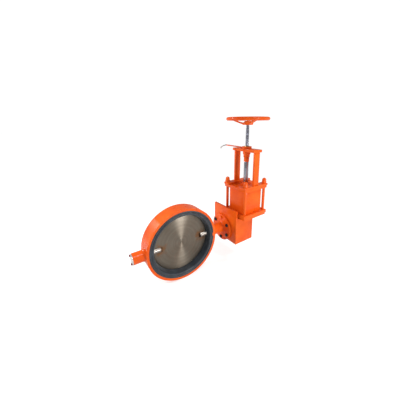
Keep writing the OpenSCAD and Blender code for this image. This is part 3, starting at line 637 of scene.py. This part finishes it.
barrel_enamel = enamel("barrel_enamel", 30.0, 0.0003, 0.18)
dressed("lower_cover", "valve", "orange_paint", plate_enamel, 0.0018, 3)
dressed("upper_cover", "valve", "orange_paint", plate_enamel, 0.0018, 3)
dressed("side_bars", "valve", "orange_paint", plate_enamel, 0.0016, 3)
dressed("barrel", "valve", "orange_paint", barrel_enamel, 0.0010)
dressed("tie_rods", "valve", "orange_paint", plate_enamel, 0.0008)
dressed("gland_plate", "valve", "orange_paint", plate_enamel, 0.0012, 3)

cylinder_low, cylinder_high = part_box("barrel")
AXIS_X = (cylinder_low.x + cylinder_high.x) / 2
AXIS_Y = (cylinder_low.y + cylinder_high.y) / 2
TIE_ROD_SPREAD = 0.070
FLANGE_SCREWS = ((0.058, 0.058), (0.058, -0.058), (-0.058, -0.058), (0.0, -0.066))
GLAND_SPREAD = 0.0165
nut_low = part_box("tie_rod_nuts")[0]


def corners(spread, z):
    """The four corners of a square round the cylinder's axis."""
    return [(AXIS_X + sx * spread, AXIS_Y + sy * spread, z) for sx in (-1, 1) for sy in (-1, 1)]


NUT_FLATS = 0.023
NUT_HEX = 0.013
DOME = 0.011
DOME_START = 0.019
nut = hex_head("one", NUT_FLATS, NUT_HEX)
dome = lathed("dome", [(DOME, 0.004), (DOME, DOME_START)] + arc(DOME, 0, DOME_START, 8, 84, 8), sides=32)
combined(nut, dome, "UNION")
eased(nut, 0.0004, 2)
nuts = set_of("tie_rod_domed_nuts", nut, [
    Matrix.Translation(place) @ Matrix.Rotation(0.35 + 0.5 * i, 4, "Z")
    for i, place in enumerate(corners(TIE_ROD_SPREAD, nut_low.z))])
fitted(nuts, "valve", "orange_paint", plate_enamel, "tie_rod_nuts")

under_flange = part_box("top_flange")[0].z - SEAT_GAP
long_screw = hex_screw("one", flats=0.016, height=0.0064, shank=0.005, length=0.0205)
long_screws = set_of("lower_cover_screw_set", long_screw, [
    head_towards((0, 0, -1), (AXIS_X + x, AXIS_Y + y, under_flange), x * 9) for x, y in FLANGE_SCREWS])
fitted(long_screws, "valve", "zinc_steel", zinc.material, "lower_cover_screws")

CAP_RADIUS = 0.004
CAP_HEIGHT = 0.005
CAP_SHANK = 0.0025
CAP_LENGTH = 0.0139
SOCKET_FLATS = 0.004
SOCKET_DEPTH = 0.003
gland_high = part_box("gland_screws")[1]
socket_screw = lathed("one", [(CAP_SHANK, -CAP_LENGTH), (CAP_SHANK, 0.0), (CAP_RADIUS, 0.0),
                              (CAP_RADIUS, CAP_HEIGHT)], sides=40)
socket = hex_head("socket_tool", SOCKET_FLATS, 0.02)
socket.data.transform(Matrix.Translation((0, 0, CAP_HEIGHT - SOCKET_DEPTH)))
combined(socket_screw, socket)
eased(socket_screw, 0.0003, 2)
gland_set = set_of("gland_socket_screws", socket_screw, [
    Matrix.Translation(place) for place in corners(GLAND_SPREAD, gland_high.z - CAP_HEIGHT)])
fitted(gland_set, "valve", "orange_paint", plate_enamel, "gland_screws")

# ---------------------------------------------------------------------------
# Piston, rod and seals: an aluminium piston with rubber cups and a plastic wear ring,
# nutted on a hard-chromed rod. Only the rod shows, above the gland.

chrome = Finish("hard_chrome", (0.46, 0.48, 0.54), 0.12, 1.0)
draw_marks = chrome.noise(240.0, 3.0, stretch=(1.0, 1.0, 0.02))
marked = chrome.ramp(draw_marks, 0.35, 0.7)
chrome.drive("Base Color", chrome.mix(marked, (0.46, 0.48, 0.54), (0.30, 0.31, 0.36)))
chrome.drive("Roughness", chrome.ramp(chrome.noise(30.0, 5.0), 0.3, 0.7, 0.10, 0.24))
chrome.bumps((draw_marks, 0.12, 0.0001),)

aluminium = Finish("cast_aluminium", (0.58, 0.58, 0.58), 0.38, 1.0)
aluminium.drive("Roughness", aluminium.ramp(aluminium.noise(90.0, 4.0), 0.3, 0.7, 0.28, 0.48))
aluminium.bumps((aluminium.noise(260.0, 3.0), 0.25, 0.0002),)

wear_plastic = Finish("wear_ring_plastic", (0.10, 0.22, 0.16), 0.48)
wear_plastic.drive("Roughness", wear_plastic.ramp(wear_plastic.noise(140.0, 3.0), 0.3, 0.7, 0.40, 0.56))
wear_plastic.bumps((wear_plastic.noise(500.0, 2.0), 0.2, 0.0001),)

dressed("piston_rod", "piston_rod", "rod_chrome", chrome.material, 0.0008)
dressed("piston_nut", "piston_rod", "zinc_steel", zinc.material, 0.0006)
as_drawn(aluminium.material, "piston")
as_drawn(wear_plastic.material, "wear_ring")
as_drawn(seal_rubber.material, "barrel_seals", "rod_seals", "piston_seals")
as_drawn(bronze.material, "lower_rod_bush", "upper_rod_bush")

# ---------------------------------------------------------------------------
# Yoke: two flat steel pillars welded to the side bars, a top plate across them, and
# under it the housing of the bronze stem nut. Sprayed orange with the rest.

dressed("pillars", "valve", "orange_paint", plate_enamel, 0.0014, 3)
dressed("yoke_plate", "valve", "orange_paint", plate_enamel, 0.0020, 3)
dressed("nut_housing", "valve", "orange_paint", plate_enamel, 0.0010)
dressed("stem_nut", "valve", "bronze", bronze.material, 0.0006)

# ---------------------------------------------------------------------------
# Swivel coupling and stem: the stem turns in a coupling screwed on the rod's end, and
# its rolled trapezoidal thread runs up through the stem nut to the handwheel.

thread_steel = Finish("rolled_stem_steel", (0.33, 0.34, 0.40), 0.26, 1.0)
oiled = thread_steel.ramp(thread_steel.noise(50.0, 6.0), 0.42, 0.70)
thread_steel.drive("Base Color", thread_steel.mix(oiled, (0.36, 0.37, 0.44), (0.17, 0.165, 0.19)))
thread_steel.drive("Roughness", thread_steel.ramp(thread_steel.noise(110.0, 4.0), 0.3, 0.7, 0.18, 0.36))
thread_steel.bumps((thread_steel.noise(420.0, 3.0), 0.2, 0.0001),)

LEAD = 0.004
THREAD_DEPTH = 0.0018
STEM_RADIUS = 0.009
ROOT_RADIUS = STEM_RADIUS - THREAD_DEPTH
THREAD_START = 0.4075
NECK_TOP = 0.405
stem_low, stem_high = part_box("stem")
wheel_low, wheel_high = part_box("handwheel")
thread_end = wheel_low.z - 0.001

bar = lathed("stem_bar", [
    (0.0067, stem_low.z), (0.0070, stem_low.z + 0.0004), (0.0070, NECK_TOP), (ROOT_RADIUS, NECK_TOP + 0.0003),
    (ROOT_RADIUS, thread_end), (STEM_RADIUS, thread_end + 0.0006), (0.0075, thread_end + 0.0009),
    (0.0075, wheel_low.z + 0.0195), (0.0058, wheel_low.z + 0.0198), (0.0058, stem_high.z - 0.0010),
    (0.0048, stem_high.z)], "Z", (AXIS_X, AXIS_Y, 0), 48)
bpy.ops.object.shade_smooth_by_angle(angle=math.radians(30))
bpy.ops.mesh.primitive_circle_add(vertices=4, radius=1)
ridge = named("thread_ridge")
flanks = ((ROOT_RADIUS - 0.0002, -0.00135), (STEM_RADIUS, -0.0007), (STEM_RADIUS, 0.0007),
          (ROOT_RADIUS - 0.0002, 0.00135))
for corner, (radius, height) in zip(ridge.data.vertices, flanks):
    corner.co = (radius, 0, THREAD_START + height)
modified(ridge, "SCREW", axis="Z", angle=math.tau, steps=32, render_steps=32, screw_offset=LEAD,
         iterations=int((thread_end - THREAD_START) / LEAD) - 1)
bpy.ops.object.mode_set(mode="EDIT")
bpy.ops.mesh.select_all(action="SELECT")
bpy.ops.mesh.remove_doubles(threshold=1e-6)
bpy.ops.mesh.fill_holes(sides=0)
bpy.ops.mesh.select_all(action="SELECT")
bpy.ops.mesh.normals_make_consistent(inside=False)
bpy.ops.object.mode_set(mode="OBJECT")
placed(ridge, "Z", (AXIS_X, AXIS_Y, 0))
bpy.ops.object.shade_smooth_by_angle(angle=math.radians(25))
fitted(joined("threaded_stem", bar, ridge), "handwheel_stem", "stem_steel", thread_steel.material, "stem")

dressed("stem_coupling", "piston_rod", "orange_paint", plate_enamel, 0.0010)
as_drawn(bronze.material, "thrust_washers")
as_drawn(zinc.material, "stem_collar")

# ---------------------------------------------------------------------------
# Handwheel: one iron casting, dished, with a round rim and three bowed spokes that run
# down into the hub. Its corners are all cast round, and it is dipped in the same enamel.

wheel_enamel = enamel("wheel_enamel", 80.0, 0.0005, 0.3)
RIM_TUBE = 0.0088
RIM_HEIGHT = 0.600
rim_radius = (wheel_high.x - wheel_low.x) / 2 - RIM_TUBE
HUB_BORE = 0.0077
SPOKE_START = 249
SPOKE_STEPS = 14
SPOKE_ROOT = 0.0125
ROOT_HEIGHT = 0.0062
CASTING_GRAIN = 0.00125


def drawn_out(name, stations, heading, sides=24):
    """Draws an oval out along a run of stations round the cylinder's axis, in one heading.
    A station is (reach from the axis, height, half width, half thickness)."""
    reach, height, wide, thick = stations[0]
    bpy.ops.mesh.primitive_circle_add(vertices=sides, radius=wide, location=(reach, 0, height),
                                      rotation=(0, math.radians(90), 0))
    piece = named(name)
    bpy.ops.object.transform_apply(location=True, rotation=True, scale=False)
    bpy.ops.object.mode_set(mode="EDIT")
    bpy.ops.mesh.select_all(action="SELECT")
    bpy.ops.transform.resize(value=(1, 1, thick / wide), center_override=(reach, 0, height))
    for (r0, h0, w0, t0), (r1, h1, w1, t1) in zip(stations, stations[1:]):
        bpy.ops.mesh.extrude_region_move(TRANSFORM_OT_translate={"value": (r1 - r0, 0, h1 - h0)})
        bpy.ops.transform.resize(value=(1, w1 / w0, t1 / t0), center_override=(r1, 0, h1))
    bpy.ops.mesh.select_all(action="SELECT")
    bpy.ops.mesh.fill_holes(sides=0)
    bpy.ops.mesh.select_all(action="SELECT")
    bpy.ops.mesh.normals_make_consistent(inside=False)
    bpy.ops.object.mode_set(mode="OBJECT")
    turn = Matrix.Rotation(math.radians(heading), 4, "Z")
    piece.data.transform(Matrix.Translation((AXIS_X, AXIS_Y, 0)) @ turn)
    return piece


bpy.ops.mesh.primitive_torus_add(major_radius=rim_radius, minor_radius=RIM_TUBE, major_segments=120,
                                 minor_segments=28, location=(AXIS_X, AXIS_Y, RIM_HEIGHT))
rim = named("wheel_rim")
bpy.ops.object.transform_apply(location=True, rotation=False, scale=False)
hub = lathed("wheel_hub", [
    (HUB_BORE, 0.0), (0.0240, 0.0), (0.0268, 0.0012), (0.0275, 0.0035), (0.0275, 0.0085),
    (0.0262, 0.0112), (0.0205, 0.0132), (0.0176, 0.0158), (0.0170, 0.0192), (0.0162, 0.0200),
    (HUB_BORE, 0.0200), (HUB_BORE, 0.0)],
    "Z", (AXIS_X, AXIS_Y, wheel_low.z), 64)
spoke_run = []
for i in range(SPOKE_STEPS + 1):
    t = i / SPOKE_STEPS
    bow = t * t * (3 - 2 * t)
    spread = (2 * t - 1) ** 4
    reach = SPOKE_ROOT + t * (rim_radius - SPOKE_ROOT - 0.001)
    height = wheel_low.z + ROOT_HEIGHT + bow * (RIM_HEIGHT - wheel_low.z - ROOT_HEIGHT - 0.0008)
    spoke_run.append((reach, height, 0.0058 + 0.0042 * spread * (1 - 0.3 * t), 0.0046 + 0.0012 * spread))
spokes = [drawn_out("wheel_spoke", spoke_run, SPOKE_START + 120 * i) for i in range(3)]
wheel = joined("cast_handwheel", rim, hub, *spokes)
modified(wheel, "REMESH", mode="VOXEL", voxel_size=CASTING_GRAIN, use_smooth_shade=True)
modified(wheel, "SMOOTH", factor=0.5, iterations=6)
fitted(wheel, "handwheel_stem", "orange_paint", wheel_enamel, "handwheel")

dressed("wheel_washer", "handwheel_stem", "zinc_steel", zinc.material, 0.0004)
nut_base, nut_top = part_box("wheel_nut")
WHEEL_NUT_FLATS = 0.019
WHEEL_NUT_BORE = 0.0060
wheel_nut = hex_head("one", WHEEL_NUT_FLATS, nut_top.z - nut_base.z)
combined(wheel_nut, rod("thread_tool", WHEEL_NUT_BORE, 0.03, "Z", (0, 0, -0.01), 48))
eased(wheel_nut, 0.0003, 2)
wheel_nut = set_of("wheel_hex_nut", wheel_nut, [Matrix.Translation((AXIS_X, AXIS_Y, nut_base.z))])
fitted(wheel_nut, "handwheel_stem", "zinc_steel", zinc.material, "wheel_nut")

# ---------------------------------------------------------------------------
# Lock nut and lever: a round nut on the stem nut's collar, and a bent bar screwed into
# its side. The bar's end has lost its paint and carries a pale plastic cap.

dressed("lock_nut", "lock_lever", "orange_paint", plate_enamel, 0.0010, 3)

LEVER_HEADING = 130
BARE_FROM = 0.112
lever_paint = Finish("lever_enamel", (0.80, 0.10, 0.008), 0.34, Coat_Weight=0.3, Coat_Roughness=0.2)
to_axis = lever_paint.node("ShaderNodeVectorMath", {0: lever_paint.place, 1: (AXIS_X, AXIS_Y, 0)},
                           operation="SUBTRACT").outputs[0]
flat = lever_paint.node("ShaderNodeVectorMath", {0: to_axis, 1: (1, 1, 0)}, operation="MULTIPLY").outputs[0]
lever_reach = lever_paint.node("ShaderNodeVectorMath", {0: flat}, operation="LENGTH").outputs["Value"]
chips = lever_paint.ramp(lever_paint.noise(140.0, 5.0), 0.3, 0.7, -0.006, 0.006)
ragged_end = lever_paint.math("ADD", lever_reach, chips)
bare = lever_paint.ramp(ragged_end, BARE_FROM - 0.002, BARE_FROM + 0.002)
lever_paint.drive("Base Color", lever_paint.mix(bare, (0.80, 0.10, 0.008), (0.42, 0.37, 0.35)))
lever_paint.drive("Metallic", lever_paint.math("MULTIPLY", bare, 0.8))
lever_paint.bumps((lever_paint.noise(200.0, 3.0), 0.3, 0.0002),)

lever = drawn_out("bent_lever_bar", [
    (0.0200, 0.4560, 0.0032, 0.0032), (0.0600, 0.4608, 0.0032, 0.0032), (0.1020, 0.4660, 0.0031, 0.0031),
    (0.1100, 0.4668, 0.0030, 0.0030), (0.1170, 0.4660, 0.0028, 0.0029), (0.1250, 0.4632, 0.0026, 0.0028),
    (0.1310, 0.4602, 0.0025, 0.0029), (0.1364, 0.4556, 0.0024, 0.0032)], LEVER_HEADING)
bpy.ops.object.shade_smooth_by_angle(angle=math.radians(50))
fitted(lever, "lock_lever", "orange_paint", lever_paint.material, "lock_lever")

pale_plastic = Finish("pale_grey_plastic", (0.62, 0.62, 0.61), 0.45, Subsurface_Weight=0.05)
handled = pale_plastic.ramp(pale_plastic.noise(160.0, 5.0), 0.4, 0.7)
pale_plastic.drive("Base Color", pale_plastic.mix(handled, (0.66, 0.66, 0.65), (0.46, 0.45, 0.43)))
pale_plastic.drive("Roughness", pale_plastic.ramp(handled, 0.0, 1.0, 0.40, 0.58))
pale_plastic.bumps((pale_plastic.noise(600.0, 2.0), 0.2, 0.0001),)

TIP = 0.005
tip_low, tip_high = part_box("lever_tip")
tip_centre = (tip_low + tip_high) / 2
cap = lathed("lever_end_cap", [(0.0028, -0.0064), (0.0034, -0.0062), (0.0036, -0.0050)]
             + arc(TIP, 0, 0, -45, 85, 10), sides=32)
fall = Vector((tip_centre.x - AXIS_X, tip_centre.y - AXIS_Y, 0)).normalized() + Vector((0, 0, -0.85))
cap.data.transform(head_towards(fall, tip_centre))
only(cap)
bpy.ops.object.shade_smooth_by_angle(angle=math.radians(50))
fitted(cap, "lock_lever", "grey_plastic", pale_plastic.material, "lever_tip")

# ---------------------------------------------------------------------------
# Studio: a white floor under the ring's lowest point, a white surround, a soft sun from
# the front, softboxes behind on the left and low in front, and the camera.

floor_height = cad_box[0][2] - 0.0005
bpy.ops.mesh.primitive_plane_add(size=60, location=(0, 0, floor_height))
floor = named("studio_floor")
paper = Finish("studio_white", (0.58, 0.58, 0.58), 0.9)
paper.drive("Base Color", paper.mix(paper.noise(2.0, 2.0), (0.57, 0.57, 0.57), (0.59, 0.59, 0.59)))
paper.shader.inputs["Emission Color"].default_value = (1, 1, 1, 1)
seen = paper.node("ShaderNodeLightPath").outputs["Is Camera Ray"]
paper.drive("Emission Strength", paper.ramp(seen, 0.0, 1.0, 0.26, 0.54))
floor.data.materials.append(paper.material)

scene = bpy.context.scene
world = bpy.data.worlds.new("studio_surround")
world.use_nodes = True
surround = world.node_tree
sky = surround.nodes["Background"]
sky.inputs["Color"].default_value = (1, 1, 1, 1)
sky.inputs["Strength"].default_value = 0.38
backdrop = surround.nodes.new("ShaderNodeBackground")
backdrop.inputs["Color"].default_value = (1, 1, 1, 1)
backdrop.inputs["Strength"].default_value = 1.1
path = surround.nodes.new("ShaderNodeLightPath")
blend = surround.nodes.new("ShaderNodeMixShader")
surround.links.new(path.outputs["Is Camera Ray"], blend.inputs[0])
surround.links.new(sky.outputs[0], blend.inputs[1])
surround.links.new(backdrop.outputs[0], blend.inputs[2])
surround.links.new(blend.outputs[0], surround.nodes["World Output"].inputs["Surface"])
scene.world = world
scene.view_settings.view_transform = "Standard"
scene.view_settings.look = "None"


def lamp(name, kind, aim, place, energy, size):
    """A soft light at a place, pointing at a spot on the valve."""
    light = bpy.data.lights.new(name, kind)
    light.energy = energy
    if kind == "AREA":
        light.shape = "DISK"
        light.size = size
    else:
        light.angle = size
    holder = bpy.data.objects.new(name, light)
    scene.collection.objects.link(holder)
    holder.location = place
    holder.rotation_euler = (Vector(aim) - Vector(place)).to_track_quat("-Z", "Y").to_euler()
    return holder


lamp("soft_sun", "SUN", (0.2, 0, 0.2), (0.9, -1.5, 2.9), 1.65, math.radians(24))
lamp("rear_left_softbox", "AREA", (-0.1, 0, 0.1), (-0.85, 0.85, 0.80), 17, 0.45)
lamp("low_front_softbox", "AREA", (0.1, 0, 0.05), (0.50, -1.15, 0.16), 6, 0.35)

CAMERA_PLACE = (-0.404, -0.848, 0.582)
CAMERA_HEADING = math.radians(36.2)
CAMERA_DIP = math.radians(15.9)
CAMERA_ROLL = math.radians(-0.3)
FOCAL_LENGTH = 18.47
LENS_SHIFT = (-0.03725, -0.04725)
level = math.cos(CAMERA_DIP)
ahead = Vector((math.sin(CAMERA_HEADING) * level, math.cos(CAMERA_HEADING) * level, -math.sin(CAMERA_DIP)))
right = Vector((math.cos(CAMERA_HEADING), -math.sin(CAMERA_HEADING), 0))
up = right.cross(ahead)
tilted_right = right * math.cos(CAMERA_ROLL) + up * math.sin(CAMERA_ROLL)
tilted_up = up * math.cos(CAMERA_ROLL) - right * math.sin(CAMERA_ROLL)
lens = bpy.data.cameras.new("camera")
lens.lens = FOCAL_LENGTH
lens.sensor_width = 36
lens.shift_x, lens.shift_y = LENS_SHIFT
lens.clip_start = 0.01
camera = bpy.data.objects.new("camera", lens)
scene.collection.objects.link(camera)
facing = Matrix((tilted_right, tilted_up, -ahead)).transposed().to_4x4()
camera.matrix_world = Matrix.Translation(CAMERA_PLACE) @ facing
scene.camera = camera
